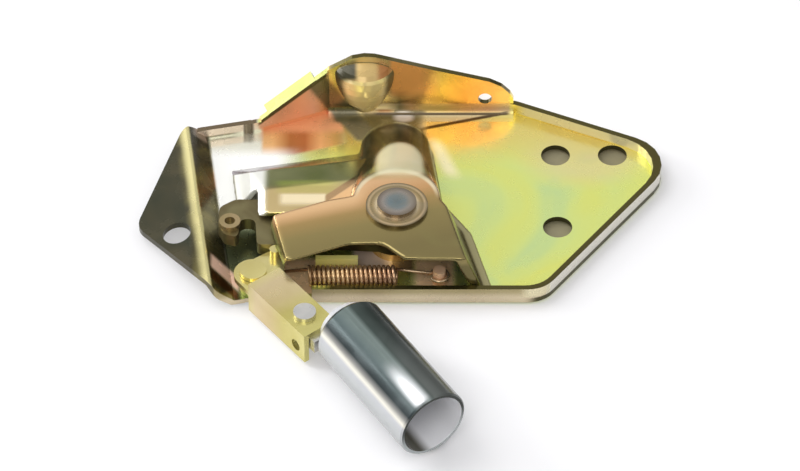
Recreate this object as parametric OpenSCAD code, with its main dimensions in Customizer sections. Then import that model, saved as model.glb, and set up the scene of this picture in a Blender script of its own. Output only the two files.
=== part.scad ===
// Car door lock: pressed tray, canopy cover, swinging catch and a release lever with a tubular grip.
// Millimetres, +Z up. The origin is the main pivot axis on the flat back of the tray.

/* [Sheet] */
// Tray sheet thickness
sheet_t = 1.6; // [1:0.1:3]
// Cover sheet thickness
cover_t = 1.4; // [0.8:0.1:2.5]
// Height of the low rim above the tray floor
rim_h = 3.6; // [2:0.1:6]
// Running clearance of a pin in its bore
pin_clear = 0.05; // [0.02:0.01:0.1]
// Face clearance between moving pieces
face_clear = 0.15; // [0.1:0.05:0.5]

/* [Tray] */
// X of the far right corner of the tray outline
side_x = 83; // [75:1:92]
// X of the front right corner of the tray outline
front_x = 41.5; // [34:0.5:48]
// X of the ear's pointed end before rounding
ear_x = -74.5; // [-80:0.5:-72]
// Y of the tray's front edge
tray_front = -22.5; // [-24:0.1:-22.2]
// Y of the tray's far edge
tray_far = 55; // [53:0.5:60]
// Radius of the front right corner
corner_front_r = 9; // [4:1:14]
// Radius of the far right corner
corner_side_r = 12; // [6:1:16]
// X of the column with two fixing holes
hole_col_x = 46; // [40:1:52]
// Y of the row with two fixing holes
hole_row_y = 35.5; // [30:0.5:40]
// Spacing of the fixing holes along X
hole_dx = 16.5; // [14:0.5:18]
// Spacing of the fixing holes along Y
hole_dy = 29.5; // [24:0.5:34]
// Radius of the fixing holes
hole_r = 4.2; // [3:0.1:5]
// Height of the left ridge above the floor
ridge_h = 6; // [3:0.5:9]
// Radius of the ear hole
ear_hole_r = 4; // [2:0.1:5]
// Outer radius of the half-round lobe in the far flange
lobe_r = 9.5; // [6:0.5:11]
// Height of the widest part of the lobe
lobe_z = 17.5; // [14:0.5:19]
// Radius of the small hole in the far flange
flange_hole_r = 2; // [1:0.1:3]

/* [Cover] */
// Height of the cover deck above the floor
deck_h = 14; // [11:0.5:18]
// Y of the crown of the deck's arched front edge
arch_y = -14; // [-17:0.5:-12]
// Radius of the boss around the pivot
boss_r = 12.5; // [10:0.5:15]

/* [Pivot] */
// Radius of the main pivot pin
pin_r = 4; // [3:0.1:5]
// Radius of the riveted pin head
pin_head_r = 5.6; // [4.5:0.1:7]
// Thickness of the pin head
pin_head_t = 1.3; // [0.8:0.1:2]
// Radius of the washer under the head
washer_r = 8.8; // [7:0.1:11]
// Thickness of the washer
washer_t = 1; // [0.6:0.1:2]

/* [Catch] */
// Thickness of the catch
catch_t = 4; // [3:0.1:5]
// Height of the catch above the floor
catch_lift = 4.6; // [4:0.1:5.5]
// Hub radius of the catch
hub_r = 10; // [8:0.5:11]
// Radius of the stud on the nose
stud_r = 3; // [2:0.1:4]
// Height of the stud
stud_h = 1.6; // [1:0.1:3]

/* [Release lever] */
// Angle of the lever below the X axis
lever_deg = 52; // [46:1:56]
// Lever length from its pin to its end
lever_l = 31; // [28:1:36]
// Width of the lever channel
lever_w = 11; // [9:0.5:13]
// Top of the lever above the floor
lever_h = 9; // [8.6:0.1:11]
// Thickness of the lever sheet
lever_t = 1.6; // [1.2:0.1:2]
// Radius of the release pin
release_r = 2.8; // [2:0.1:4]
// Radius of the finger that moves the catch
finger_r = 1.5; // [1:0.1:2]

/* [Grip] */
// Outer radius of the tubular grip
grip_r = 10.5; // [8:0.5:12]
// Wall of the tubular grip
grip_wall = 1.2; // [0.8:0.1:2]
// Length of the grip
grip_l = 46; // [36:1:56]
// Radius of the rivet in the lever
rivet_r = 2; // [1.5:0.1:3]

/* [Spring] */
// Coil centre-line radius
coil_r = 2.7; // [2:0.1:3.2]
// Wire radius
wire_r = 0.55; // [0.4:0.05:0.7]
// Length of the closed coil
coil_l = 25; // [20:1:28]
// Number of turns
coil_turns = 19; // [12:1:24]
// Segments in a turn
coil_seg = 12; // [8:1:16]
// Sides of the wire
wire_seg = 6; // [5:1:8]

/* [Hidden] */
$fn = 64;
eps = 0.01;
far = 120;
arc_n = 6;
hull_fn = 32;

floor_z = sheet_t;
rim_z = floor_z + rim_h;
deck_z = floor_z + deck_h;
ceiling_z = deck_z - cover_t;
catch_z = floor_z + catch_lift;
washer_z = deck_z;
head_z = washer_z + washer_t;
bore_r = pin_r + pin_clear;

flange_l_end = [-40, 47.2];
flange_r_end = [-20, tray_far];
ear_top = [-61.5, 42.5];
tray_left = [-53, 43.4];
tray = [[-45, tray_front], [front_x, tray_front], [side_x, 33], [34, tray_far], flange_r_end, flange_l_end,
    tray_left];
tray_r = [1, corner_front_r, corner_side_r, 9, 3, 3, 1];
flange_len = norm(flange_r_end - flange_l_end);
flange_deg = atan2(flange_r_end[1] - flange_l_end[1], flange_r_end[0] - flange_l_end[0]);
flange_hole = [25.7, floor_z + 5.7];
lobe_x = -9.4;
lobe_foot_r = 4.4;
lobe_back = 2.4;
lobe_dome = 0.5;
fillet_r = 3;
front_gap = 0.3;
front_over = 8;
cover_front = tray_front + sheet_t + front_gap;
front_cut = [[-60, -60], [40, -60], [22, -25], [17, -20.4], [2, -20.2], [-4.5, arch_y],
    [-14, arch_y - 0.4], [-33, -22]];
front_cut_r = [1, 1, 1, 1, 3, 6, 6, 1];
lip_w = 4.2;
lip_t = 1.4;
flange_face = [[-20.3, 0], [34, 0], [34, 7], [33, 9.2], [30.5, 12], [27, 14], [9.4, 19], [-3.7, 23],
    [-6.5, 23.8], [-9.5, 24], [-13, 23.2], [-20.3, 18.4]];
facet_rise = 0.8;
facet_low = [0, rim_z + facet_rise];
facet_high = [flange_len, 18.4];
facet_face = [[0, 0], [flange_len, 0], facet_high, facet_low];
lip_at = facet_low + (facet_high - facet_low) * 0.14;
lip_deg = atan2(facet_high[1] - facet_low[1], facet_high[0] - facet_low[0]);
lip_l = norm(facet_high - facet_low) * 0.68;
rim_gap = [[-90, -60], [-24, -60], [-24, 20], [-43, 20], [-43, 60], [-90, 60]];
ear_rim_zone = [[-58, 36], [-42.5, 36], [-42.5, 60], [-58, 60]];
deck_back = [[14, 1], [8, 10], [-20, 3], [-35, -3]];
deck_foot = [[19, 2], [10, 15], [-22, 8], [-38.5, -2]];
deck_right = 19.5;
deck_left = -31;
foot_right = 25;
foot_left = -33;
shoulder_top = [[-9, 1], [-9, 14], [-37, 9.5], [-37, 0]];
shoulder_mid = [[-8, 2], [-10, 25], [-42, 20], [-41, 1]];
shoulder_foot = [[-6, 4], [-10, 36.5], [-48, 29], [-45, 3]];
shoulder_drop = 2.4;
shoulder_mid_drop = 5.5;
crest_at = [1, 24.5];
crest_r = 6.8;
crest_drop = 4.8;
crest_foot_at = [-0.5, 40];
crest_foot_r = 10;
boss_at = [0, 3];
boss_foot_r = 14.5;
nose_gap = [-60, -16, 60, 28];
nose_gap_h = 0.8;
lever_gap_r = 11.2;
lever_gap_h = 0.6;
foot_strip = [[24.6, cover_front], [27.4, cover_front], [21.4, 2.5], [13.2, 15], [10.6, 36], [8.4, 36],
    [11, 14.6], [18.8, 1.8]];
hook = [[0, -9], [0, 9], [-32, 5], [-37, 8.4], [-46, 8.6], [-50.5, 5.5], [-50.8, -1.5], [-49, -5.4],
    [-45.6, -6.6], [-44.9, -5], [-44.7, 0.6], [-40.2, 0.6], [-39.6, -9.6], [-31, -9.6], [-27, -7]];
hook_r = [1, 1, 6, 4, 4, 3, 4, 2.4, 1, 1, 2, 2, 1.5, 1, 4];
bar_at = [-23, -13.2];
bar_size = [12, 1.6, 6.3];
arm_plate = [[-3, 3.5], [4.4, 8.6], [7.6, 8.4], [8.8, 4], [8.6, 0.6], [3, -4.4]];

ridge_a = [-53, -22.5];
ridge_b = [-61, 39];
ridge_mid = (ridge_a + ridge_b) / 2;
ridge_deg = atan2(ridge_a[0] - ridge_b[0], ridge_b[1] - ridge_a[1]);
ridge_run = 7;
ridge_top = floor_z + ridge_h;
ear_reach = 24;
ear_slope = 0.24;
ear = [[-42, tray_front], flange_l_end, ear_top, [ear_x, 4.5], [-51, tray_front - 2]];
ear_r = [0.5, 2, 8, 6, 2];
ear_hole = [-62.6, -0.8];

release_at = [-40.5, -18.5];
lever_top = floor_z + lever_h;
lever_in = lever_top - lever_t;
lever_side = lever_w / 2;
plate_lift = 4.6;
plate_z = floor_z + plate_lift;
plate_t = 1.6;
skirt_x = 5;
skirt_z = 0.4;
inner_x = 16;
inner_end = 3;
joggle_x = 5;
root_r = 5.5;
finger_off = [6, 7];
finger_at = release_at + finger_off;
finger_short = 1.4;
post_off = [6.5, 2.5];
post_at = release_at + post_off;
post_r = 1.2;
post_h = 2.6;
rivet_end = 7;
rivet_x = lever_l - rivet_end;
rivet_head_r = 3.2;
rivet_head_t = 1.2;
tang_in = 15.8;
tang_x = lever_l - tang_in;
tang_w = 7.2;
tang_t = 4.2;
wall_hole_end = 4;
wall_hole_x = lever_l - wall_hole_end;
wall_hole_r = 1.8;
wall_hole_z = 4.2;
lever_dir = [cos(lever_deg), -sin(lever_deg)];
lever_out = [sin(lever_deg), cos(lever_deg)];
grip_gap = 2.68;
grip_off = 5.92;
grip_lean = 5;
grip_at = release_at + lever_dir * (lever_l + grip_gap) + lever_out * grip_off;
grip_deg = lever_deg + grip_lean;
tang_l = 18;
grip_z = grip_r + 0.6;
grip_neck_r = 7.4;
grip_neck_l = 4;
stud_at = [-47.4, -1.6];
anchor_at = [12, -17];
anchor_r = 1.8;
anchor_h = 6;
spring_lift = 3.7;
spring_z = floor_z + spring_lift;
coil_x = -25;
coil_y = -17.3;
loop_gap = 0.1;

function unit(v) = v / norm(v);
function left_of(v) = [-v[1], v[0]];
function prev(i, n) = (i + n - 1) % n;
function next(i, n) = (i + 1) % n;
function wrap(a) = a > 180 ? a - 360 : (a < -180 ? a + 360 : a);

// Moves every edge of a counter-clockwise outline inwards by d.
function inset(p, d) = [for (i = [0 : len(p) - 1])
    let (n = len(p), a = left_of(unit(p[i] - p[prev(i, n)])), b = left_of(unit(p[next(i, n)] - p[i])))
    p[i] + (a + b) * d / (1 + a * b)];

// Arc points that round one corner.
function corner(p, a, b, r) = let (
    u = unit(a - p),
    w = unit(b - p),
    half = acos(u * w) / 2,
    c = p + unit(u + w) * r / sin(half),
    s = p + u * r / tan(half) - c,
    e = p + w * r / tan(half) - c,
    a0 = atan2(s[1], s[0]),
    sweep = wrap(atan2(e[1], e[0]) - a0))
    [for (i = [0 : arc_n]) c + r * [cos(a0 + sweep * i / arc_n), sin(a0 + sweep * i / arc_n)]];

function rounded(p, r) = [for (i = [0 : len(p) - 1])
    each corner(p[i], p[prev(i, len(p))], p[next(i, len(p))], r[i])];

module slab(p, z, h) {
    translate([0, 0, z]) linear_extrude(h) polygon(p);
}

module disc(at, r, z) {
    translate([at[0], at[1], z]) cylinder(r = r, h = eps, $fn = hull_fn);
}

module post(at, r, z, h) {
    translate([at[0], at[1], z]) cylinder(r = r, h = h);
}

module ring(at, r, bore, z, h) {
    difference() {
        post(at, r, z, h);
        post(at, bore, z - 1, h + 2);
    }
}

// Low rim, left open at the front left for the lever and along the left wall.
module tray_rim() {
    difference() {
        slab(rounded(tray, tray_r), 0, rim_z);
        slab(rounded(inset(tray, sheet_t), tray_r), -1, far);
        slab(rim_gap, -1, far);
    }
}

module far_flange() {
    difference() {
        union() {
            translate([0, tray_far, 0]) rotate([90, 0, 0]) linear_extrude(sheet_t)
                polygon(flange_face);
            translate(flange_l_end) rotate([0, 0, flange_deg]) rotate([90, 0, 0]) linear_extrude(sheet_t)
                polygon(facet_face);
            translate([flange_r_end[0], tray_far - sheet_t, floor_z]) rotate([90, 0, 90])
                linear_extrude(tray[3][0] - flange_r_end[0]) difference() {
                    translate([-fillet_r, 0]) square(fillet_r);
                    translate([-fillet_r, fillet_r]) circle(fillet_r);
                }
            translate(flange_l_end) rotate([0, 0, flange_deg])
                translate([lip_at[0], -sheet_t, lip_at[1] - lip_t]) rotate([0, -lip_deg, 0])
                    cube([lip_l, lip_w, lip_t]);
            lobe_form(lobe_r, 0);
        }
        lobe_form(lobe_r - sheet_t, 1);
        translate([flange_hole[0], tray_far + 1, flange_hole[1]]) rotate([90, 0, 0])
            cylinder(r = flange_hole_r, h = sheet_t + 2);
    }
}

// Half-round bulge that widens upwards to a low dome, standing on the far edge.
module lobe_form(r, past) {
    intersection() {
        translate([lobe_x, tray_far + lobe_back, 0]) rotate_extrude()
            polygon(concat([[0, floor_z]],
                [for (a = [0 : 15 : 75])
                    [r - (lobe_r - lobe_foot_r) * (1 - sin(a)), floor_z + (lobe_z - floor_z) * a / 90]],
                [for (a = [0 : 15 : 75]) [r * cos(a), lobe_z + lobe_dome * r * sin(a)]],
                [[0, lobe_z + lobe_dome * r]]));
        translate([lobe_x - far / 2, tray_far - far + past, 0]) cube([far, far, far]);
    }
}

// Low rim that runs on round the far end of the ridge.
module ear_rim() {
    intersection() {
        difference() {
            slab(rounded(ear, ear_r), 0, rim_z);
            slab(rounded(inset(ear, sheet_t), ear_r), -1, far);
        }
        slab(ear_rim_zone, 0, far);
    }
}

module left_end() {
    intersection() {
        slab(rounded(ear, ear_r), 0, far);
        translate(ridge_mid) rotate([0, 0, ridge_deg]) rotate([90, 0, 0]) translate([0, 0, -far / 2])
            linear_extrude(far) polygon([
                [ridge_run + 3, 0], [ridge_run + 3, floor_z], [ridge_run, floor_z], [0.8, ridge_top - 0.3],
                [0, ridge_top], [-0.8, ridge_top - 0.2], [-ear_reach, ridge_top - ear_reach * ear_slope],
                [-ear_reach, ridge_top - ear_reach * ear_slope - sheet_t], [-0.6, ridge_top - 2.2],
                [ridge_run - 0.9, 0]]);
    }
}

module base_plate() {
    color([0.72, 0.68, 0.3]) difference() {
        union() {
            slab(rounded(tray, tray_r), 0, sheet_t);
            tray_rim();
            far_flange();
            ear_rim();
            left_end();
        }
        post([hole_col_x, hole_row_y], hole_r, -1, far);
        post([hole_col_x + hole_dx, hole_row_y], hole_r, -1, far);
        post([hole_col_x, hole_row_y - hole_dy], hole_r, -1, far);
        post(ear_hole, ear_hole_r, -1, far);
    }
}

// Three overlapping pressed forms, drawn d inside the outer skin.
module cover_form(d, front) {
    hull() {
        slab(inset(concat([[deck_right, front]], deck_back, [[deck_left, front]]), d), deck_z - d - eps, eps);
        slab(inset(concat([[foot_right, front]], deck_foot, [[foot_left, front]]), d), floor_z - d, eps);
    }
    hull() {
        slab(inset(shoulder_top, d), deck_z - shoulder_drop - d, eps);
        slab(inset(shoulder_mid, d), deck_z - shoulder_mid_drop - d, eps);
        slab(inset(shoulder_foot, d), floor_z - d, eps);
    }
    hull() {
        disc(boss_at, boss_r - d, deck_z - d - eps);
        disc(crest_at, crest_r - d, deck_z - crest_drop - d);
        disc(boss_at, boss_foot_r - d, floor_z - d);
        disc(crest_foot_at, crest_foot_r - d, floor_z - d);
    }
}

module cover() {
    color([0.78, 0.56, 0.32]) {
        difference() {
            cover_form(0, cover_front);
            cover_form(cover_t, cover_front - front_over);
            translate([-far / 2, -far / 2, floor_z - far]) cube([far, far, far]);
            slab(rounded(front_cut, front_cut_r), -1, far);
            translate([nose_gap[0], nose_gap[1], 0])
                cube([nose_gap[2], nose_gap[3], catch_z + catch_t + nose_gap_h]);
            post(release_at, lever_gap_r, 0, lever_top + lever_gap_h);
            post([0, 0], bore_r, 0, far);
        }
        slab(foot_strip, floor_z, cover_t);
    }
}

module pivot_pin() {
    color([0.7, 0.7, 0.68]) {
        post([0, 0], pin_r, floor_z, head_z - floor_z);
        post([0, 0], pin_head_r, head_z, pin_head_t);
    }
}

module pivot_washer() {
    color([0.66, 0.62, 0.5]) ring([0, 0], washer_r, bore_r, washer_z, washer_t);
}

module catch_spacer() {
    color([0.7, 0.55, 0.5]) ring([0, 0], hub_r - 2, bore_r, floor_z, catch_lift - face_clear);
}

module catch() {
    color([0.36, 0.25, 0.16]) difference() {
        union() {
            post([0, 0], hub_r, catch_z, catch_t);
            slab(rounded(hook, hook_r), catch_z, catch_t);
        }
        post([0, 0], bore_r, 0, far);
    }
}

module catch_stud() {
    color([0.75, 0.7, 0.55]) {
        ring(stud_at, stud_r, stud_r / 2, catch_z + catch_t, stud_h);
    }
}

module release_pin() {
    color([0.7, 0.68, 0.6]) {
        post(release_at, release_r, floor_z, plate_lift + plate_t + face_clear);
        post(release_at, release_r + 1, plate_z + plate_t + face_clear, pin_head_t);
    }
}

module release_spacer() {
    color([0.6, 0.55, 0.4])
        ring(release_at, root_r - 1.6, release_r + pin_clear, floor_z, plate_lift - face_clear);
}

// Places its children in the lever frame: +X runs along the lever from the release pin.
module on_lever() {
    translate(release_at) rotate([0, 0, -lever_deg]) children();
}

module release_lever() {
    color([0.8, 0.72, 0.28]) {
        difference() {
            union() {
                on_lever() {
                    translate([joggle_x, -lever_side, lever_in]) cube([lever_l - joggle_x, lever_w, lever_t]);
                    translate([joggle_x, -lever_side, plate_z]) cube([lever_t, lever_w, lever_top - plate_z]);
                    translate([skirt_x, -lever_side, skirt_z])
                        cube([lever_l - skirt_x, lever_t, lever_top - skirt_z]);
                    translate([inner_x, lever_side - lever_t, plate_z])
                        cube([lever_l - inner_x - inner_end, lever_t, lever_top - plate_z]);
                    translate([0, 0, plate_z]) cylinder(r = root_r, h = plate_t);
                    translate([0, -root_r, plate_z]) cube([joggle_x + lever_t, 2 * root_r, plate_t]);
                }
                slab([for (v = arm_plate) v + release_at],
                    plate_z, plate_t);
                post(finger_at, finger_r, plate_z, plate_t + catch_t - finger_short);
            }
            post(release_at, release_r + pin_clear, 0, far);
            on_lever() {
                translate([rivet_x, 0, 0]) cylinder(r = rivet_r + pin_clear, h = far);
                translate([wall_hole_x, 0, wall_hole_z]) rotate([90, 0, 0])
                    cylinder(r = wall_hole_r, h = far);
            }
        }
    }
}

module spring_post() {
    color([0.7, 0.6, 0.4]) post(post_at, post_r, plate_z - post_h, post_h);
}

module grip_tang() {
    color([0.75, 0.75, 0.74]) on_lever() difference() {
        translate([tang_x, -tang_w / 2, lever_in - tang_t]) cube([tang_l, tang_w, tang_t]);
        translate([rivet_x, 0, 0]) cylinder(r = rivet_r + pin_clear, h = far);
    }
}

module grip_rivet() {
    color([0.8, 0.8, 0.78]) on_lever() translate([rivet_x, 0, 0]) {
        translate([0, 0, lever_in - tang_t]) cylinder(r = rivet_r, h = lever_t + tang_t);
        translate([0, 0, lever_top]) cylinder(r = rivet_head_r, h = rivet_head_t);
    }
}

module grip() {
    color([0.82, 0.83, 0.85]) translate([grip_at[0], grip_at[1], grip_z]) rotate([0, 90, -grip_deg])
        rotate_extrude() polygon([[0, 0], [grip_neck_r, 0], [grip_r, grip_neck_l], [grip_r, grip_l - 0.5],
            [grip_r - 0.4, grip_l], [grip_r - grip_wall, grip_l], [grip_r - grip_wall, grip_neck_l + grip_wall],
            [grip_neck_r - grip_wall, grip_wall * 1.5], [0, grip_wall * 1.5]]);
}

// Wire swept round the coil axis, closed with flat ends.
module coil() {
    steps = coil_turns * coil_seg;
    pts = [for (i = [0 : steps]) for (j = [0 : wire_seg - 1])
        let (a = 360 * i / coil_seg, b = 360 * j / wire_seg, r = coil_r + wire_r * cos(b))
        [coil_l * i / steps + wire_r * sin(b), r * cos(a), r * sin(a)]];
    sides = [for (i = [0 : steps - 1]) for (j = [0 : wire_seg - 1])
        [i * wire_seg + j, i * wire_seg + next(j, wire_seg), (i + 1) * wire_seg + next(j, wire_seg),
            (i + 1) * wire_seg + j]];
    first = [for (j = [wire_seg - 1 : -1 : 0]) j];
    last = [for (j = [0 : wire_seg - 1]) steps * wire_seg + j];
    polyhedron(points = pts, faces = concat([first], sides, [last]));
}

// Straight round wire between two points.
module wire(a, b) {
    v = b - a;
    translate(a) rotate([0, acos(v[2] / norm(v)), atan2(v[1], v[0])])
        cylinder(r = wire_r, h = norm(v), $fn = 24);
}

module loop(at, bore) {
    translate([at[0], at[1], spring_z]) rotate_extrude()
        translate([bore + loop_gap + wire_r, 0]) circle(wire_r, $fn = 24);
}

module coil_spring() {
    color([0.62, 0.42, 0.24]) {
        translate([coil_x, coil_y, spring_z]) coil();
        loop(post_at, post_r);
        loop(anchor_at, anchor_r);
        wire([post_at[0] + post_r + loop_gap + wire_r, post_at[1], spring_z],
            [coil_x, coil_y + coil_r, spring_z]);
        wire([coil_x + coil_l, coil_y + coil_r, spring_z],
            [anchor_at[0] - anchor_r - loop_gap - wire_r, anchor_at[1], spring_z]);
    }
}

module spring_anchor() {
    color([0.75, 0.62, 0.45]) post(anchor_at, anchor_r, floor_z, anchor_h);
}

module guide_bar() {
    color([0.8, 0.74, 0.34]) translate([bar_at[0], bar_at[1], floor_z]) cube(bar_size);
}

base_plate();
cover();
pivot_pin();
pivot_washer();
catch_spacer();
catch();
catch_stud();
release_pin();
release_spacer();
release_lever();
spring_post();
grip_tang();
grip_rivet();
grip();
coil_spring();
spring_anchor();
guide_bar();
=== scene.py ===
"""Looks of the car door lock: materials, spring wire, stage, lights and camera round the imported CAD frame.

Lengths are metres in the CAD's own frame, colours are linear RGB, and masks run from 0 to 1.
"""
import math

import bpy
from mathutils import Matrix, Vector


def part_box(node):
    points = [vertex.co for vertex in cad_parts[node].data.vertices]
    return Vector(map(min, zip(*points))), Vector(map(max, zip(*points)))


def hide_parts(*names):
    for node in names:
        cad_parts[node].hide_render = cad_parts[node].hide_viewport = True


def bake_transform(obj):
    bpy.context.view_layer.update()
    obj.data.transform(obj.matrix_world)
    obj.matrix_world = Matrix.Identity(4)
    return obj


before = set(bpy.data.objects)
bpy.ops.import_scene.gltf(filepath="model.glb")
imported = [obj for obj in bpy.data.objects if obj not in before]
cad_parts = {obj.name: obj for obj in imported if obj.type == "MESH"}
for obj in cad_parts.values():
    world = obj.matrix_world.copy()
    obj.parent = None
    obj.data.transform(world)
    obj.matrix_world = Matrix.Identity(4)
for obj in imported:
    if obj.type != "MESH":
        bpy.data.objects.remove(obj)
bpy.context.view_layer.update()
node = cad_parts

FROM_ABOVE = (1.0, 1.0, 0.0)    # keeps X and Y of a vector
ROUGH_SCALE = 140               # cloudy changes of roughness
BUMP_SCALE = 900                # fine grain of the plating
BUMP_HEIGHT = 0.0004

GREEN = (0.78, 0.88, 0.28)
LEAF = (0.70, 0.80, 0.24)
YELLOW = (0.86, 0.72, 0.22)
PALE = (0.93, 0.91, 0.76)
GOLD = (0.80, 0.58, 0.20)
ORANGE = (0.86, 0.38, 0.11)
PINK = (0.84, 0.52, 0.36)


# Material helpers
class Tree:
    """Small wrapper that builds a procedural material node by node."""

    def __init__(self, name):
        self.mat = bpy.data.materials.new(name)
        self.mat.use_nodes = True
        self.nt = self.mat.node_tree
        self.bsdf = self.nt.nodes["Principled BSDF"]
        coord = self.new("ShaderNodeTexCoord")
        self.pos = coord.outputs["Object"]
        self.facing = coord.outputs["Normal"]

    def new(self, kind, **props):
        n = self.nt.nodes.new(kind)
        for k, v in props.items():
            setattr(n, k, v)
        return n

    def put(self, socket, value):
        if hasattr(value, "is_output"):
            self.nt.links.new(value, socket)
        else:
            socket.default_value = value

    def axis(self, i, vec=None):
        n = self.new("ShaderNodeSeparateXYZ")
        self.put(n.inputs[0], vec or self.pos)
        return n.outputs[i]

    def vector(self, op, a, b=None):
        n = self.new("ShaderNodeVectorMath", operation=op)
        self.put(n.inputs[0], a)
        if b is not None:
            self.put(n.inputs[1], b)
        return n.outputs["Value" if op in ("LENGTH", "DOT_PRODUCT") else "Vector"]

    def away(self, at, scale=FROM_ABOVE):
        """Distance from a point, with each axis stretched by the scale."""
        off = self.vector("SUBTRACT", self.pos, at)
        return self.vector("LENGTH", self.vector("MULTIPLY", off, scale))

    def noise(self, scale, detail=3.0, warp=0.0):
        n = self.new("ShaderNodeTexNoise")
        self.put(n.inputs["Vector"], self.pos)
        n.inputs["Scale"].default_value = scale
        n.inputs["Detail"].default_value = detail
        n.inputs["Distortion"].default_value = warp
        return n.outputs["Fac"]

    def ramp(self, fac, stops):
        n = self.new("ShaderNodeValToRGB")
        self.put(n.inputs[0], fac)
        e = n.color_ramp.elements
        while len(e) < len(stops):
            e.new(0.5)
        for el, (p, c) in zip(e, stops):
            el.position = p
            el.color = (*c, 1)
        return n.outputs[0]

    def span(self, value, lo, hi, a=0.0, b=1.0, soft=True):
        """Runs from a to b while the value runs from lo to hi."""
        n = self.new("ShaderNodeMapRange")
        n.interpolation_type = "SMOOTHSTEP" if soft else "LINEAR"
        self.put(n.inputs[0], value)
        for i, v in enumerate((lo, hi, a, b)):
            n.inputs[1 + i].default_value = v
        return n.outputs[0]

    def window(self, value, out_lo, in_lo, in_hi, out_hi):
        """Full between the inner two values and gone past the outer two."""
        return self.both(self.span(value, out_lo, in_lo), self.span(value, out_hi, in_hi))

    def close(self, value, at, outer, inner):
        """Full within the inner distance of one value and gone past the outer."""
        off = self.math("ABSOLUTE", self.math("SUBTRACT", value, at))
        return self.span(off, outer, inner)

    def without(self, mask):
        return self.span(mask, 1.0, 0.0)

    def mix(self, fac, a, b):
        n = self.new("ShaderNodeMix", data_type="RGBA")
        self.put(n.inputs[0], fac)
        self.put(n.inputs[6], a if hasattr(a, "is_output") else (*a, 1))
        self.put(n.inputs[7], b if hasattr(b, "is_output") else (*b, 1))
        return n.outputs[2]

    def coats(self, base, layers):
        """Lays (mask, colour) pairs over a colour, the last one on top."""
        for mask, colour in layers:
            base = self.mix(mask, base, colour)
        return base

    def math(self, op, a, b=0.0):
        n = self.new("ShaderNodeMath", operation=op)
        self.put(n.inputs[0], a)
        self.put(n.inputs[1], b)
        return n.outputs[0]

    def tilt(self, value, other, slope):
        """value - slope * other: level lines of it lean across the picture."""
        return self.math("SUBTRACT", value, self.math("MULTIPLY", other, slope))

    def chain(self, op, masks):
        out = masks[0]
        for m in masks[1:]:
            out = self.math(op, out, m)
        return out

    def both(self, *masks):
        return self.chain("MULTIPLY", masks)

    def most(self, *masks):
        return self.chain("MAXIMUM", masks)

    def finish(self, color, metal, rough, bump=0.0):
        self.put(self.bsdf.inputs["Base Color"], color)
        self.put(self.bsdf.inputs["Metallic"], metal)
        cloud = self.span(self.noise(ROUGH_SCALE, 4), 0.3, 0.7, *rough)
        self.put(self.bsdf.inputs["Roughness"], cloud)
        if bump:
            n = self.new("ShaderNodeBump")
            n.inputs["Strength"].default_value = bump
            n.inputs["Distance"].default_value = BUMP_HEIGHT
            self.put(n.inputs["Height"], self.noise(BUMP_SCALE, 2))
            self.put(self.bsdf.inputs["Normal"], n.outputs[0])
        return self.mat


# Tray: the colours of its zones, then the zones themselves
FLANGE_STOPS = [
    (0.0, (0.80, 0.48, 0.32)), (0.08, (0.84, 0.46, 0.26)), (0.15, (0.95, 0.48, 0.27)), (0.21, (0.86, 0.50, 0.32)),
    (0.30, (0.46, 0.38, 0.14)), (0.37, (0.86, 0.70, 0.36)), (0.43, (0.96, 0.80, 0.46)), (0.50, (0.84, 0.66, 0.36)),
    (0.55, (0.20, 0.16, 0.07)), (0.60, (0.52, 0.30, 0.12)), (0.65, (0.64, 0.42, 0.12)), (0.72, (0.62, 0.40, 0.10)),
    (0.81, (0.72, 0.36, 0.11)), (0.91, (0.72, 0.38, 0.18)), (1.0, (0.68, 0.52, 0.30)),
]
WARM_STOPS = [
    (0.0, (0.70, 0.40, 0.17)), (0.15, (0.80, 0.44, 0.17)), (0.35, (0.42, 0.15, 0.04)), (0.52, (0.44, 0.14, 0.04)),
    (0.70, (0.86, 0.42, 0.16)), (0.88, (0.52, 0.29, 0.08)), (1.0, (0.50, 0.36, 0.15)),
]
TONE = {
    "hole_rings": (0.88, 0.72, 0.42), "jaw_shade": (0.20, 0.23, 0.12), "rust": (0.95, 0.43, 0.12),
    "salmon": (0.92, 0.42, 0.20), "crest_back_shade": (0.20, 0.155, 0.055), "painted_glint_spot": (0.80, 0.70, 0.58),
    "fold_shade": (0.19, 0.16, 0.085), "flank_shade": (0.14, 0.12, 0.05), "lobe": (1.0, 0.80, 0.38),
    "lobe_top": (0.60, 0.42, 0.16), "lobe_brown": (0.42, 0.18, 0.05), "lobe_left_shade": (0.05, 0.045, 0.02),
    "tab_shadow_line": (0.09, 0.08, 0.03), "lens": (0.80, 0.64, 0.34), "slit_shade_low": (0.10, 0.06, 0.02),
    "slit_shade_high": (0.12, 0.08, 0.03), "foot_shade": (0.14, 0.12, 0.055), "glint": (0.97, 0.90, 0.52),
    "ridge_top": (0.78, 0.70, 0.33), "rim_wall_highlight": (0.86, 0.72, 0.60), "rim_top": (0.20, 0.15, 0.09),
    "step_shade": (0.16, 0.12, 0.07), "bend_highlight": (0.84, 0.56, 0.42), "bend_dark_line": (0.17, 0.07, 0.02),
    "pinkish": (0.95, 0.74, 0.58), "tanned": (0.95, 0.66, 0.38), "dim": (0.20, 0.14, 0.07),
    "bright": (0.98, 0.98, 0.94), "edge": (0.10, 0.085, 0.025), "tab": (0.74, 0.78, 0.26),
    "right_rim": (0.80, 0.77, 0.68), "inner_rim_highlight": (0.80, 0.72, 0.46), "bore": (0.09, 0.085, 0.04),
}
HOLE_PAIR = (0.0540, 0.0355, 0.0)       # between the two far fixing holes
LOBE_AXIS = (-0.0094, 0.0574, 0.0)
GLINT_SPOT = (0.0020, 0.0512, 0.0)


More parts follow.
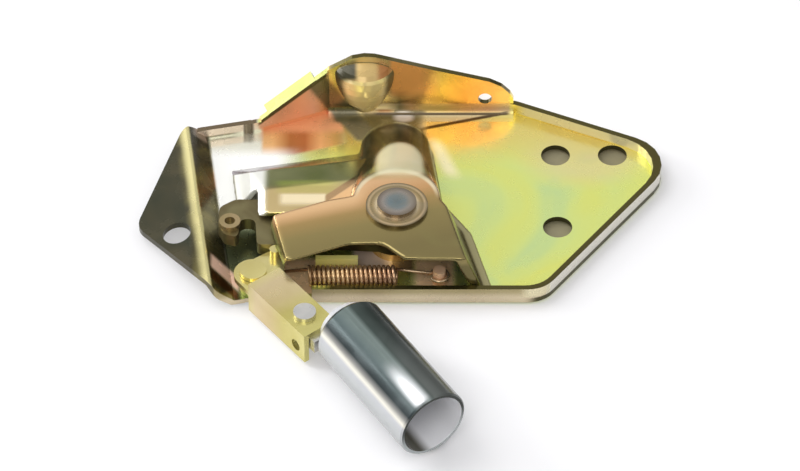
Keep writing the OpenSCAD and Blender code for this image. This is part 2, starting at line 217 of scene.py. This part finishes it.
def tray_zinc():
    """Yellow-green plate, orange far flange with a lobe whose golden front is a painted highlight, and on the left a
    ridge and ear darkened with painted shade.
    """
    t = Tree("tray_zinc")
    x, y, z = t.axis(0), t.axis(1), t.axis(2)
    nx, ny, nz = (t.axis(i, t.facing) for i in range(3))
    steep_x, steep_z = t.math("ABSOLUTE", nx), t.math("ABSOLUTE", nz)
    foot = t.math("ADD", y, z)          # height in the photograph's view
    level = t.span(nz, 0.6, 0.85)
    ground = t.span(z, 0.0034, 0.0026)

    base = t.ramp(t.noise(21, 4, 1.0), [(0.30, (0.60, 0.80, 0.38)), (0.42, GREEN), (0.52, (0.84, 0.88, 0.22)),
                                        (0.60, LEAF), (0.72, (0.86, 0.72, 0.34))])
    rings = t.span(t.away(HOLE_PAIR, (0.7, 1.0, 0.0)), 0.016, 0.006, 0.0, 0.55)
    far = t.ramp(t.noise(30, 2, 0.5), [(0.35, YELLOW), (0.65, (0.86, 0.62, 0.26))])
    # Painted shade: the floor below the catch's nose is darkened.
    jaw_shade = t.both(t.span(x, -0.034, -0.037), t.span(y, 0.010, 0.004), t.span(z, 0.0024, 0.0018))
    base = t.coats(base, [(rings, TONE["hole_rings"]), (t.span(y, 0.030, 0.046), far),
                          (t.span(x, -0.022, -0.042), PALE), (jaw_shade, TONE["jaw_shade"])])

    # Far flange, from the left facet over the lobe to the right end
    flange = t.ramp(t.span(x, -0.040, 0.034, soft=False), FLANGE_STOPS)
    up = t.both(t.span(y, 0.0425, 0.0450), t.span(z, 0.0018, 0.0032), t.window(x, -0.0410, -0.0395, 0.0325, 0.0335))
    facet = t.both(up, t.span(x, -0.0200, -0.0240))
    rust = t.both(up, t.window(x, -0.0030, -0.0010, 0.0060, 0.0135), t.span(z, 0.0060, 0.0115))
    base = t.coats(base, [(up, flange), (rust, TONE["rust"])])

    # Orange floor below the facet; behind the crest the floor is darkened as painted shade of the crest's back, with
    # one painted highlight spot
    skew = t.tilt(y, t.math("MAXIMUM", t.math("ADD", x, 0.030), 0.0), 0.30)
    patch = t.both(ground, t.window(x, -0.0400, -0.0385, -0.0165, -0.0140), t.span(skew, 0.0350, 0.0366))
    warm = t.ramp(t.span(x, -0.040, -0.0145, soft=False), WARM_STOPS)
    warm = t.mix(t.span(foot, 0.0452, 0.0490), warm, TONE["salmon"])
    behind_crest_shade = t.both(ground, t.window(x, -0.0120, -0.0090, 0.0070, 0.0095), t.span(y, 0.0420, 0.0445))
    glint_spot = t.both(behind_crest_shade, t.span(t.away(GLINT_SPOT, (0.6, 1.0, 0.0)), 0.0024, 0.0008))
    base = t.coats(base, [(patch, warm), (behind_crest_shade, TONE["crest_back_shade"]), (glint_spot, TONE["painted_glint_spot"])])

    # Painted shade along the fold that runs from the facet's top down to the crest's foot
    lean = t.math("ADD", x, t.math("MULTIPLY", t.math("SUBTRACT", foot, 0.0561), 0.64))
    fold_shade = t.both(t.span(y, 0.0405, 0.0425), t.close(lean, -0.0161, 0.0052, 0.0028), t.span(x, -0.004, -0.008))
    # Painted shade on the steep sides of the flange's shapes.
    flank_shade = t.both(up, t.span(steep_x, 0.45, 0.8), t.span(x, -0.0205, -0.0195))
    base = t.coats(base, [(fold_shade, TONE["fold_shade"]), (flank_shade, TONE["flank_shade"])])

    # Lobe with a painted highlight down its front and painted shade at its upper left, and a dark line of painted
    # shadow below the tab on the facet's top
    lobe = t.both(up, t.span(t.away(LOBE_AXIS), 0.0099, 0.0096), t.span(y, 0.0534, 0.0530))
    lobe_highlight = t.both(lobe, t.span(nz, 0.5, 0.2), t.close(x, LOBE_AXIS[0], 0.0070, 0.0045))
    dome = t.both(lobe, t.span(nz, 0.35, 0.6))
    brown = t.both(dome, t.close(x, -0.0036, 0.0030, 0.0008))
    # Painted shade at the dome's upper left.
    dark = t.both(lobe, t.close(x, -0.0150, 0.0042, 0.0024), t.span(foot, 0.0665, 0.0690))
    rise = t.tilt(z, x, 0.62)
    # Painted shadow: a dark line below the tab on the facet's top.
    tab_shadow_line = t.both(up, t.span(rise, 0.0286, 0.0293), t.span(ny, -0.5, -0.7), t.span(x, -0.0200, -0.0208))
    base = t.coats(base, [(lobe_highlight, TONE["lobe"]), (dome, TONE["lobe_top"]), (brown, TONE["lobe_brown"]),
                          (dark, TONE["lobe_left_shade"]), (tab_shadow_line, TONE["tab_shadow_line"])])

    # Slit along the flange's foot: two dark lines of painted shade round a pale lens
    slant = t.tilt(foot, x, 0.272)
    low = t.both(t.span(z, 0.0056, 0.0048), t.span(y, 0.044, 0.046))
    run = t.both(low, t.window(x, 0.005, 0.010, 0.0315, 0.0335))
    lens = t.both(run, t.span(slant, 0.0461, 0.0467), t.span(foot, 0.0550, 0.0544))
    slit_shade_low = t.both(run, t.close(slant, 0.0462, 0.0010, 0.0003))
    slit_shade_high = t.both(low, t.close(foot, 0.0545, 0.0008, 0.0003), t.window(x, -0.008, -0.005, 0.0315, 0.0335))
    shade = t.both(low, t.span(foot, 0.0500, 0.0520), t.window(x, -0.0200, -0.0170, -0.013, -0.008))
    bend = t.both(low, t.span(y, 0.0494, 0.0500), t.window(x, -0.010, -0.004, 0.0335, 0.0345))
    base = t.coats(base, [(lens, TONE["lens"]), (slit_shade_low, TONE["slit_shade_low"]), (slit_shade_high, TONE["slit_shade_high"]),
                          (shade, TONE["foot_shade"])])

    # Pale glint beside the crest's foot
    glint = t.both(t.close(t.tilt(x, y, -0.366), 0.0259, 0.0040, 0.0002), t.span(z, 0.0024, 0.0018),
                   t.window(y, 0.024, 0.030, 0.0390, 0.0445))
    base = t.mix(glint, base, TONE["glint"])

    # Left ridge and ear darkened with painted shade and a painted highlight along the ridge's top, with the end of the
    # far rim beside them, its inner face a painted highlight
    wall_shade = t.ramp(t.noise(45, 2, 1.2), [(0.35, (0.09, 0.075, 0.035)), (0.5, (0.19, 0.165, 0.065)),
                                        (0.65, (0.08, 0.07, 0.035))])
    # Painted shade: the ear is dark.
    ear = t.ramp(t.noise(70, 3, 0.4), [(0.35, (0.030, 0.034, 0.018)), (0.65, (0.065, 0.055, 0.026))])
    far_rim = t.both(t.window(x, -0.0600, -0.0575, -0.0412, -0.0400), t.span(y, 0.0385, 0.0405),
                     t.span(z, 0.0022, 0.0030))
    # Painted shade: the far rim's end step is darkened.
    step_shade = t.both(t.span(nx, -0.2, -0.5), t.window(x, -0.0460, -0.0450, -0.0415, -0.0405), t.span(y, 0.0385, 0.0405))
    end = t.both(t.span(steep_z, 0.85, 0.7), t.window(x, -0.0450, -0.0442, -0.0422, -0.0412), t.span(y, 0.0365, 0.0385))
    step_shade = t.most(step_shade, end)
    base = t.coats(base, [(t.both(t.span(x, -0.045, -0.049), t.span(z, 0.0016, 0.0026)), wall_shade),
                          (t.both(t.span(x, -0.050, -0.052), t.span(z, 0.0069, 0.0075)), TONE["ridge_top"]),
                          (t.both(t.span(x, -0.0565, -0.0585), t.span(z, 0.0072, 0.0066)), ear),
                          (far_rim, t.mix(level, TONE["rim_wall_highlight"], TONE["rim_top"])), (step_shade, TONE["step_shade"])])

    # Pink painted highlight on the bend, with a dark line beside it, at the ridge's near end
    down = t.math("ADD", t.math("MULTIPLY", x, 0.788), t.math("MULTIPLY", foot, 0.619))
    near_end = t.both(t.window(x, -0.0535, -0.0520, -0.0455, -0.0440), t.span(y, -0.004, -0.007),
                      t.span(z, 0.0075, 0.0065))
    bend_highlight = t.both(near_end, t.close(down, -0.0449, 0.0022, 0.0010))
    bend_dark_line = t.both(near_end, t.close(down, -0.0480, 0.0016, 0.0006))
    base = t.coats(base, [(bend_highlight, TONE["bend_highlight"]), (bend_dark_line, TONE["bend_dark_line"])])

    # Floor round the spring: pinkish behind it, tan at both ends, dim beside the anchor; bright floor at the far left
    pinkish = t.both(ground, t.window(x, -0.0135, -0.0115, -0.0015, 0.0005),
                     t.window(y, -0.0110, -0.0095, 0.000, 0.004))
    at_anchor = t.both(ground, t.window(x, 0.0030, 0.0065, 0.0150, 0.0175),
                       t.window(y, -0.0215, -0.0200, -0.0085, -0.0050))
    at_lever = t.both(ground, t.window(x, -0.0345, -0.0325, -0.0225, -0.0195),
                      t.window(y, -0.0215, -0.0200, -0.0080, -0.0050))
    tanned = t.most(at_anchor, at_lever)
    dim = t.both(ground, t.window(x, -0.0020, -0.0010, 0.0040, 0.0055), t.window(y, -0.0120, -0.0105, -0.002, 0.002))
    bright = t.both(t.span(x, -0.026, -0.036), t.span(z, 0.0022, 0.0018), t.window(y, 0.006, 0.012, 0.034, 0.040))
    base = t.coats(base, [(pinkish, TONE["pinkish"]), (tanned, TONE["tanned"]), (dim, TONE["dim"]),
                          (bright, TONE["bright"])])

    # Sheet edges, rims and bores: the rims' top edges and the bores are darkened as painted shade, and the inner rim
    # wall carries a painted highlight
    edge = t.both(level, t.span(z, 0.0044, 0.0050), t.without(lobe))
    tab = t.both(edge, t.window(x, -0.0410, -0.0400, -0.0205, -0.0195), t.span(y, 0.043, 0.046))
    front = t.both(t.span(ny, -0.6, -0.85), t.span(y, -0.018, -0.021))
    streak = t.ramp(t.noise(40, 2), [(0.35, (0.42, 0.34, 0.20)), (0.65, (0.60, 0.52, 0.32))])
    streak = t.mix(t.span(z, 0.0016, 0.0046), t.mix(0.5, streak, (0.78, 0.66, 0.50)),
                   t.mix(0.6, streak, (0.26, 0.21, 0.08)))
    right = t.both(t.span(nx, 0.5, 0.75), t.span(x, 0.036, 0.042))
    inner = t.both(t.span(steep_z, 0.75, 0.5), t.span(z, 0.0017, 0.0022), t.span(x, 0.034, 0.038), t.without(right))
    bore = t.both(t.span(x, 0.036, 0.040), t.span(z, 0.0017, 0.0015), t.span(steep_z, 0.5, 0.3), t.span(ny, 0.1, -0.1))
    base = t.coats(base, [(t.both(edge, t.span(x, -0.022, -0.018)), TONE["edge"]), (tab, TONE["tab"]), (front, streak),
                          (right, TONE["right_rim"]), (inner, TONE["inner_rim_highlight"]), (bore, TONE["bore"])])

    # Zones that mirror less, so that their own colour shows
    soft = t.most(lobe, bend, bright, step_shade, glint, inner, rust, facet, patch, behind_crest_shade, t.both(fold_shade, ground),
                  bend_highlight, pinkish, dim, tanned)
    metal = t.tilt(t.span(x, -0.0570, -0.0590, 0.86, 0.45), soft, 0.6)
    return t.finish(base, metal, (0.18, 0.32), 0.02)


def cover_zinc():
    """Orange deck, green shoulder with a pale window painted as a highlight, and a pale crest painted as a highlight
    between flanks darkened as painted shade.
    """
    t = Tree("cover_zinc")
    x, y, z = t.axis(0), t.axis(1), t.axis(2)
    lean = t.tilt(y, x, 0.3)
    deck = t.ramp(t.span(lean, -0.016, 0.012, soft=False),
                  [(0.0, (0.25, 0.20, 0.08)), (0.42, (0.33, 0.26, 0.10)), (0.62, (0.46, 0.31, 0.12)),
                   (0.78, (0.68, 0.39, 0.17)), (1.0, (0.84, 0.52, 0.27))])
    deck = t.mix(t.span(t.noise(34, 3, 1.0), 0.5, 0.75, 0.0, 0.8), deck, (0.30, 0.27, 0.10))
    glow = t.both(t.span(x, -0.006, -0.013), t.span(lean, 0.001, 0.008, 0.0, 0.8))
    deck = t.mix(glow, deck, (1.0, 0.66, 0.35))
    # Shoulder: green flank, a painted highlight near the deck, a white painted highlight at the left end
    back = t.ramp(t.noise(40, 2, 0.4), [(0.35, (0.28, 0.33, 0.10)), (0.6, (0.46, 0.48, 0.22))])
    foot = t.math("ADD", y, z)
    near_highlight = t.both(t.span(foot, 0.0222, 0.0203), t.span(x, -0.0196, -0.0208), t.span(x, -0.0345, -0.0320),
                  t.span(y, 0.002, 0.005))
    lime = t.both(t.span(foot, 0.0272, 0.0255), t.span(foot, 0.0203, 0.0222), t.span(x, -0.014, -0.021),
                  t.span(x, -0.0360, -0.0320))
    back = t.mix(near_highlight, back, (0.95, 1.0, 0.72))
    back = t.mix(lime, back, t.mix(t.span(foot, 0.0250, 0.0236), (0.58, 0.68, 0.16), (0.33, 0.47, 0.07)))
    climb = t.tilt(foot, x, 0.938)
    corner = t.both(t.span(x, -0.0208, -0.0198), t.span(x, -0.0105, -0.0125), t.span(y, 0.003, 0.006))
    slope = t.both(corner, t.span(climb, 0.0374, 0.0364))
    back = t.mix(slope, back, (0.80, 0.47, 0.20))
    # Painted shadow line along the deck's raised edge.
    back = t.mix(t.both(corner, t.close(climb, 0.0379, 0.0020, 0.0010)), back, (0.10, 0.055, 0.015))
    left_end_highlight = t.span(x, -0.0360, -0.0390)
    back = t.mix(left_end_highlight, back, (0.96, 0.96, 0.90))
    # Crest: pale tongue painted as a highlight between flanks darkened as painted shade
    back = t.mix(t.both(t.span(x, -0.0135, -0.0105), t.span(z, 0.0146, 0.0136)), back, (0.15, 0.125, 0.05))
    wide = t.math("POWER", t.math("ABSOLUTE", t.math("DIVIDE", t.math("SUBTRACT", x, 0.0008), 0.0072)), 2.0)
    deep = t.math("POWER", t.math("MAXIMUM", t.math("DIVIDE", t.math("SUBTRACT", y, 0.0215), 0.0105), 0.0), 2.0)
    tongue_highlight = t.both(t.span(t.math("ADD", wide, deep), 1.3, 0.55), t.span(y, 0.011, 0.014))
    back = t.mix(tongue_highlight, back, t.ramp(t.noise(50, 2), [(0.35, (0.58, 0.53, 0.28)), (0.65, (0.74, 0.69, 0.46))]))
    back = t.mix(t.span(z, 0.0034, 0.0024), back,
                 t.mix(t.span(x, -0.030, -0.022), (0.16, 0.14, 0.06), (0.80, 0.74, 0.40)))
    # Dark line of painted shadow along the shoulder's far edge
    edge = t.tilt(foot, x, 0.19)
    edge = t.both(t.span(edge, 0.0374, 0.0382), t.span(x, -0.019, -0.023), t.span(z, 0.0140, 0.0130))
    back = t.mix(edge, back, t.mix(t.span(x, -0.036, -0.032), (0.34, 0.30, 0.33), (0.06, 0.07, 0.02)))
    left_end_highlight = t.both(left_end_highlight, t.span(edge, 1.0, 0.0))
    flat = t.both(t.span(z, 0.0122, 0.0142), t.span(y, 0.016, 0.010))
    # Pale ring painted as a highlight along the boss's edge.
    round_boss = t.away((0.0, 0.003, 0.0))
    boss_edge_highlight = t.both(t.close(round_boss, 0.0119, 0.0012, 0.0003), t.span(y, 0.003, 0.009))
    deck = t.mix(t.both(boss_edge_highlight, t.span(z, 0.0140, 0.0148)), deck, (0.96, 0.80, 0.52))
    dull = t.both(t.most(near_highlight, left_end_highlight, tongue_highlight, slope), t.span(flat, 1.0, 0.0))
    return t.finish(t.mix(flat, back, deck), t.span(dull, 0.0, 1.0, 0.85, 0.3), (0.15, 0.27), 0.015)


def zinc(name, stops, rough=(0.18, 0.32), scale=60, metal=0.8):
    """Plain plating in cloudy patches of a few tones."""
    t = Tree(name)
    return t.finish(t.ramp(t.noise(scale, 3, 0.8), stops), metal, rough, 0.03)


def lever_zinc():
    """Yellow at the root, tan in the middle, stronger yellow at the tip."""
    t = Tree("lever_zinc")
    rel = t.vector("SUBTRACT", t.pos, (-0.0405, -0.0185, 0.0))
    run = t.vector("DOT_PRODUCT", rel, (math.cos(math.radians(52)), -math.sin(math.radians(52)), 0.0))
    tone = t.ramp(t.span(run, -0.004, 0.031, soft=False),
                  [(0.0, (0.66, 0.58, 0.22)), (0.22, (0.84, 0.76, 0.32)), (0.36, (0.74, 0.58, 0.36)),
                   (0.55, (0.66, 0.52, 0.26)), (0.72, (0.62, 0.56, 0.15)), (1.0, (0.70, 0.66, 0.20))])
    patch = t.ramp(t.noise(60, 3, 0.8), [(0.35, (0.52, 0.42, 0.15)), (0.65, (0.80, 0.70, 0.40))])
    return t.finish(t.mix(0.35, tone, patch), 0.85, (0.16, 0.28), 0.03)


def radial(name, stops, metal):
    """Rings of colour round the main pivot, which stands on the origin."""
    t = Tree(name)
    off = t.away((0.0, 0.0, 0.0))
    reach = stops[-1][0]
    tone = t.ramp(t.span(off, 0.0, reach, soft=False), [(r / reach, c) for r, c in stops])
    patch = t.span(t.noise(160, 3, 0.8), 0.35, 0.65, 0.0, 0.4)
    return t.finish(t.mix(patch, tone, (0.30, 0.26, 0.18)), metal, (0.22, 0.36), 0.03)


def spring_plating():
    """Copper brown, darker at the lever's end, with a painted highlight brightest in the middle."""
    t = Tree("spring_wire")
    tone = t.ramp(t.span(t.axis(0), -0.028, 0.004, soft=False),
                  [(0.0, (0.20, 0.11, 0.05)), (0.12, (0.30, 0.17, 0.08)), (0.32, (0.78, 0.54, 0.28)),
                   (0.50, (0.70, 0.44, 0.24)), (0.80, (0.48, 0.27, 0.17)), (1.0, (0.56, 0.42, 0.28))])
    patch = t.ramp(t.noise(120, 3, 0.8), [(0.3, (0.36, 0.18, 0.08)), (0.6, (0.70, 0.48, 0.24))])
    return t.finish(t.mix(0.35, tone, patch), 0.8, (0.2, 0.34), 0.03)


tray_mat = tray_zinc()
cover_mat = cover_zinc()
lever_mat = lever_zinc()
orange_mat = zinc("orange_zinc", [(0.3, ORANGE), (0.5, GOLD), (0.7, PINK)])
yellow_mat = zinc("yellow_zinc", [(0.3, GREEN), (0.5, YELLOW), (0.7, GOLD)])
dark_mat = zinc("dark_steel", [(0.3, (0.07, 0.05, 0.025)), (0.5, (0.15, 0.12, 0.055)), (0.7, (0.22, 0.19, 0.09))],
                (0.28, 0.45))
bright_mat = zinc("bright_steel", [(0.3, (0.52, 0.52, 0.50)), (0.55, (0.66, 0.65, 0.62)), (0.72, (0.6, 0.55, 0.45))],
                  (0.22, 0.36), 60, 0.9)
pin_mat = radial("pin_head",
                 [(0.0, (0.16, 0.22, 0.24)), (0.0024, (0.22, 0.27, 0.28)), (0.0040, (0.36, 0.32, 0.28)),
                  (0.0058, (0.17, 0.13, 0.10))], 0.9)
# The pivot ring's pale rings, at its inner edge and near its outer edge, are painted highlights.
washer_mat = radial("pivot_ring",
                    [(0.0058, (0.86, 0.70, 0.44)), (0.0066, (0.50, 0.37, 0.19)), (0.0074, (0.30, 0.22, 0.10)),
                     (0.0080, (0.62, 0.46, 0.26)), (0.0088, (0.12, 0.09, 0.04))], 0.8)
anchor_mat = zinc("anchor_zinc", [(0.3, (0.84, 0.46, 0.22)), (0.6, (0.92, 0.62, 0.40))], (0.25, 0.4), 160, 0.35)
# The guide bar's bright yellow with little metal is a painted highlight.
bar_highlight_mat = zinc("bar_highlight_zinc", [(0.3, (0.95, 0.86, 0.24)), (0.6, (0.98, 0.92, 0.42))], (0.3, 0.45), 60, 0.2)
bronze_mat = zinc("bronze_ring", [(0.3, (0.28, 0.20, 0.09)), (0.5, (0.38, 0.29, 0.14)), (0.7, (0.46, 0.34, 0.19))])
spring_mat = spring_plating()


def tube_painted_reflections():
    """Bright tube with painted reflections: streaks along the axis, a pale underside, a painted highlight near the
    mouth, a mouth edge darker towards the top, and a pale inside, brighter towards the mouth, with a crescent of
    painted shade.
    """
    t = Tree("chrome_tube")
    root = (-0.0151, -0.0414, 0.0111)
    along = (math.cos(math.radians(57)), -math.sin(math.radians(57)), 0.0)
    turn = (-0.878 * along[1], 0.878 * along[0], 0.4787)
    rel = t.vector("SUBTRACT", t.pos, root)
    side = t.span(t.vector("DOT_PRODUCT", rel, turn), -0.0105, 0.0105, soft=False)
    # The bands across the tube are painted reflections: grey, a pale streak, a dark middle, a lighter streak, dark
    # again.
    skin = t.ramp(side,
                  [(0.0, (0.42, 0.43, 0.43)), (0.08, (0.52, 0.54, 0.54)), (0.17, (0.58, 0.59, 0.61)),
                   (0.21, (0.90, 0.87, 0.76)), (0.27, (0.40, 0.40, 0.38)), (0.33, (0.045, 0.057, 0.060)),
                   (0.50, (0.050, 0.072, 0.072)), (0.60, (0.075, 0.10, 0.094)), (0.68, (0.18, 0.225, 0.21)),
                   (0.74, (0.045, 0.062, 0.055)), (0.88, (0.030, 0.042, 0.036)), (0.97, (0.07, 0.08, 0.075)),
                   (1.0, (0.14, 0.14, 0.14))])
    skin = t.mix(t.span(t.noise(60, 3, 0.5), 0.4, 0.8, 0.0, 0.12), skin, (0.36, 0.40, 0.40))
    far = t.vector("LENGTH", t.vector("CROSS_PRODUCT", rel, along))
    reach = t.vector("DOT_PRODUCT", rel, along)
    # Darker band of painted reflection along one side towards the mouth.
    skin = t.mix(t.both(t.span(side, 0.70, 0.78), t.span(reach, 0.012, 0.044, 0.0, 0.6)), skin, (0.17, 0.18, 0.17))
    # Painted highlight: a white patch near the mouth.
    patch = t.both(t.close(side, 0.60, 0.15, 0.02), t.span(reach, 0.026, 0.043), t.span(reach, 0.0465, 0.0440))
    skin = t.mix(patch, skin, (0.97, 0.98, 1.0))
    # The inside is painted pale as painted light, brighter towards the mouth.
    inside = t.span(far, 0.0097, 0.0094)
    skin = t.mix(inside, skin, t.mix(t.span(reach, 0.012, 0.044), (0.78, 0.79, 0.82), (0.98, 0.98, 1.0)))
    # Painted shade: a dark crescent inside the mouth.
    skin = t.mix(t.both(inside, t.span(side, 0.30, 0.14)), skin, (0.10, 0.095, 0.07))
    # The mouth's end face is darker towards the top.
    mouth = t.span(t.vector("DOT_PRODUCT", t.facing, along), 0.6, 0.85)
    lip = t.mix(t.span(t.axis(2), 0.0135, 0.0060), (0.035, 0.04, 0.035), (0.40, 0.43, 0.43))
    skin = t.mix(t.both(mouth, t.span(reach, 0.040, 0.044)), skin, lip)
    t.bsdf.inputs["Specular IOR Level"].default_value = 0.3
    return t.finish(skin, t.math("SUBTRACT", 0.4, t.math("MULTIPLY", inside, 0.25)), (0.16, 0.26), 0.01)


chrome_mat = tube_painted_reflections()

MATERIAL = {
    "base_plate": tray_mat, "cover": cover_mat, "pivot_pin": pin_mat, "pivot_washer": washer_mat,
    "catch_spacer": orange_mat, "catch": dark_mat, "catch_stud": bronze_mat, "release_pin": lever_mat,
    "release_spacer": yellow_mat, "release_lever": lever_mat, "spring_post": bright_mat, "grip_tang": bright_mat,
    "grip_rivet": bright_mat, "grip": chrome_mat, "coil_spring": spring_mat, "spring_anchor": anchor_mat,
    "guide_bar": bar_highlight_mat,
}
BEVEL = {"base_plate": 0.0006, "release_lever": 0.0005, "catch": 0.0006, "grip": 0.0004, "pivot_pin": 0.0005,
         "pivot_washer": 0.0003, "release_pin": 0.0004, "grip_rivet": 0.0005, "catch_stud": 0.0005}

for name, obj in node.items():
    obj.data.materials.clear()
    obj.data.materials.append(MATERIAL[name])
    if name in BEVEL:
        m = obj.modifiers.new("edge", "BEVEL")
        m.width = BEVEL[name]
        m.segments = 3
        m.limit_method = "ANGLE"
        m.angle_limit = math.radians(30)
        m.harden_normals = True

# The pressed cover gets soft bends: an even skin, then smoothing.
m = node["cover"].modifiers.new("skin", "REMESH")
m.mode = "VOXEL"
m.voxel_size = 0.00045
m.use_smooth_shade = True
m = node["cover"].modifiers.new("soften", "SMOOTH")
m.factor = 0.5
m.iterations = 10


def helix_mesh():
    """Tension spring: closed coil, straight ends and a loop on each post, all one swept wire."""
    lo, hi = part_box("coil_spring")
    p_lo, p_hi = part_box("spring_post")
    a_lo, a_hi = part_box("spring_anchor")
    post = (p_lo + p_hi) / 2
    anchor = (a_lo + a_hi) / 2
    z = (lo.z + hi.z) / 2
    y = -0.0173
    wire, r = 0.00055, 0.0027           # radii of the wire and of its centre line in the coil
    x0, x1, turns = -0.025, 0.0, 19
    turn_steps, loop_steps, loop_part = 20, 24, 0.86
    path = []
    ring = 0.00185                      # loop round the lever's post
    for i in range(loop_steps + 1):
        a = math.pi + 2 * math.pi * i / loop_steps * loop_part
        path.append(Vector((post.x + ring * math.cos(a + 0.9), post.y + ring * math.sin(a + 0.9), z)))
    n = turns * turn_steps
    for i in range(n + 1):
        a = 2 * math.pi * i / turn_steps
        path.append(Vector((x0 + (x1 - x0) * i / n, y + r * math.cos(a), z + r * math.sin(a))))
    ring = 0.00245                      # loop round the frame's anchor
    for i in range(loop_steps + 1):
        a = math.pi * 0.9 - 2 * math.pi * i / loop_steps * loop_part
        path.append(Vector((anchor.x + ring * math.cos(a), anchor.y + ring * math.sin(a), z)))
    curve = bpy.data.curves.new("spring_wire", "CURVE")
    curve.dimensions = "3D"
    curve.bevel_depth = wire
    curve.bevel_resolution = 2
    curve.use_fill_caps = True
    s = curve.splines.new("POLY")
    s.points.add(len(path) - 1)
    for pt, v in zip(s.points, path):
        pt.co = (*v, 1)
    tmp = bpy.data.objects.new("spring_tmp", curve)
    bpy.context.collection.objects.link(tmp)
    dg = bpy.context.evaluated_depsgraph_get()
    mesh = bpy.data.meshes.new_from_object(tmp.evaluated_get(dg))
    bpy.data.objects.remove(tmp)
    mesh.name = "tension_spring"
    for p in mesh.polygons:
        p.use_smooth = True
    return mesh


spring = bpy.data.objects.new("tension_spring", helix_mesh())
bpy.context.collection.objects.link(spring)
spring.data.materials.clear()
spring.data.materials.append(spring_mat)
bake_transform(spring)
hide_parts("coil_spring")

# Stage: floor, world, lights, camera
scene = bpy.context.scene
scene.view_settings.view_transform = "Standard"

floor_mesh = bpy.data.meshes.new("floor")
floor_mesh.from_pydata([(-3, -3, 0), (3, -3, 0), (3, 3, 0), (-3, 3, 0)], [], [(0, 1, 2, 3)])
floor = bpy.data.objects.new("floor", floor_mesh)
bpy.context.collection.objects.link(floor)
floor.location.z = -0.0008
t = Tree("floor_paper")
tone = t.span(t.noise(3, 2), 0.3, 0.7)
left = t.span(t.axis(0), 0.03, -0.07)
paper = t.mix(left, t.mix(tone, (0.85, 0.845, 0.855), (0.87, 0.865, 0.875)),
              t.mix(tone, (0.47, 0.467, 0.474), (0.49, 0.487, 0.494)))
# Painted shade below the three fixing holes, which the photograph shows dark
hole_shade = 0.0
for at in ((0.046, 0.006, 0.0), (0.046, 0.0355, 0.0), (0.0625, 0.0355, 0.0)):
    off = t.away(at)
    hole_shade = t.math("MAXIMUM", t.span(off, 0.0078, 0.0062), hole_shade)
hole_shade = t.both(hole_shade, t.span(t.axis(1), 0.0418, 0.0410))
paper = t.mix(hole_shade, paper, (0.27, 0.24, 0.145))
# The floor glows more towards the left, where its albedo is lower, which lightens the shadows there; it does not glow
# below the holes.
t.put(t.bsdf.inputs["Emission Color"], (0.99, 0.985, 0.995, 1))
t.put(t.bsdf.inputs["Emission Strength"],
      t.math("MULTIPLY", t.span(left, 0.0, 1.0, 0.08, 0.40), t.span(hole_shade, 0.0, 1.0, 1.0, 0.0)))
floor.data.materials.append(t.finish(paper, 0.0, (0.8, 0.95)))

world = bpy.data.worlds.new("studio")
scene.world = world
world.use_nodes = True
wt = world.node_tree
bg = wt.nodes["Background"]
ray = wt.nodes.new("ShaderNodeLightPath")
geo = wt.nodes.new("ShaderNodeTexCoord")
sep = wt.nodes.new("ShaderNodeSeparateXYZ")
wt.links.new(geo.outputs["Generated"], sep.inputs[0])
up = wt.nodes.new("ShaderNodeMapRange")
wt.links.new(sep.outputs[2], up.inputs[0])
up.inputs[1].default_value = -0.1
up.inputs[2].default_value = 1.0
sky = wt.nodes.new("ShaderNodeValToRGB")
wt.links.new(up.outputs[0], sky.inputs[0])
band = sky.color_ramp.elements
# place between the horizon and straight up, and brightness there
SKY_STOPS = [(0.0, 0.16), (1.0, 0.95), (0.35, 0.30), (0.62, 0.95)]
for el, (p, c) in zip([band[0], band[1], band.new(0.35), band.new(0.62)], SKY_STOPS):
    el.position = p
    el.color = (c, c, c * 1.02, 1)
pick = wt.nodes.new("ShaderNodeMix")
pick.data_type = "RGBA"
wt.links.new(ray.outputs["Is Camera Ray"], pick.inputs[0])
wt.links.new(sky.outputs[0], pick.inputs[6])
pick.inputs[7].default_value = (0.92, 0.915, 0.925, 1)
wt.links.new(pick.outputs[2], bg.inputs[0])
bg.inputs[1].default_value = 0.8


def softbox(name, at, size, power, aim=(0, 0, 0)):
    data = bpy.data.lights.new(name, "AREA")
    data.shape = "RECTANGLE"
    data.size, data.size_y = size
    data.energy = power
    obj = bpy.data.objects.new(name, data)
    bpy.context.collection.objects.link(obj)
    obj.location = at
    obj.rotation_euler = (Vector(aim) - Vector(at)).to_track_quat("-Z", "Y").to_euler()
    return obj


softbox("key", (-0.40, 0.14, 0.72), (0.5, 0.5), 1.9)
softbox("fill", (0.5, -0.35, 0.5), (0.4, 0.4), 0.25)
softbox("front", (-0.12, -0.62, 0.66), (0.4, 0.4), 1.4)
softbox("rim", (-0.5, 0.12, 0.23), (0.16, 0.3), 1.4)
softbox("low", (-0.55, 0.5, 0.16), (0.3, 0.2), 0.8, (-0.06, 0, 0))

cam_data = bpy.data.cameras.new("camera")
cam = bpy.data.objects.new("camera", cam_data)
bpy.context.collection.objects.link(cam)
scene.camera = cam
cam_data.sensor_width = 36
cam_data.lens = 236.25
target = Vector((0.0009, 0.0026, 0.0016))
tilt, distance = math.radians(45), 1.5
cam.location = target + Vector((0, -math.cos(tilt), math.sin(tilt))) * distance
cam.rotation_euler = (target - cam.location).to_track_quat("-Z", "Y").to_euler()
cam_data.clip_start, cam_data.clip_end = 0.01, 20
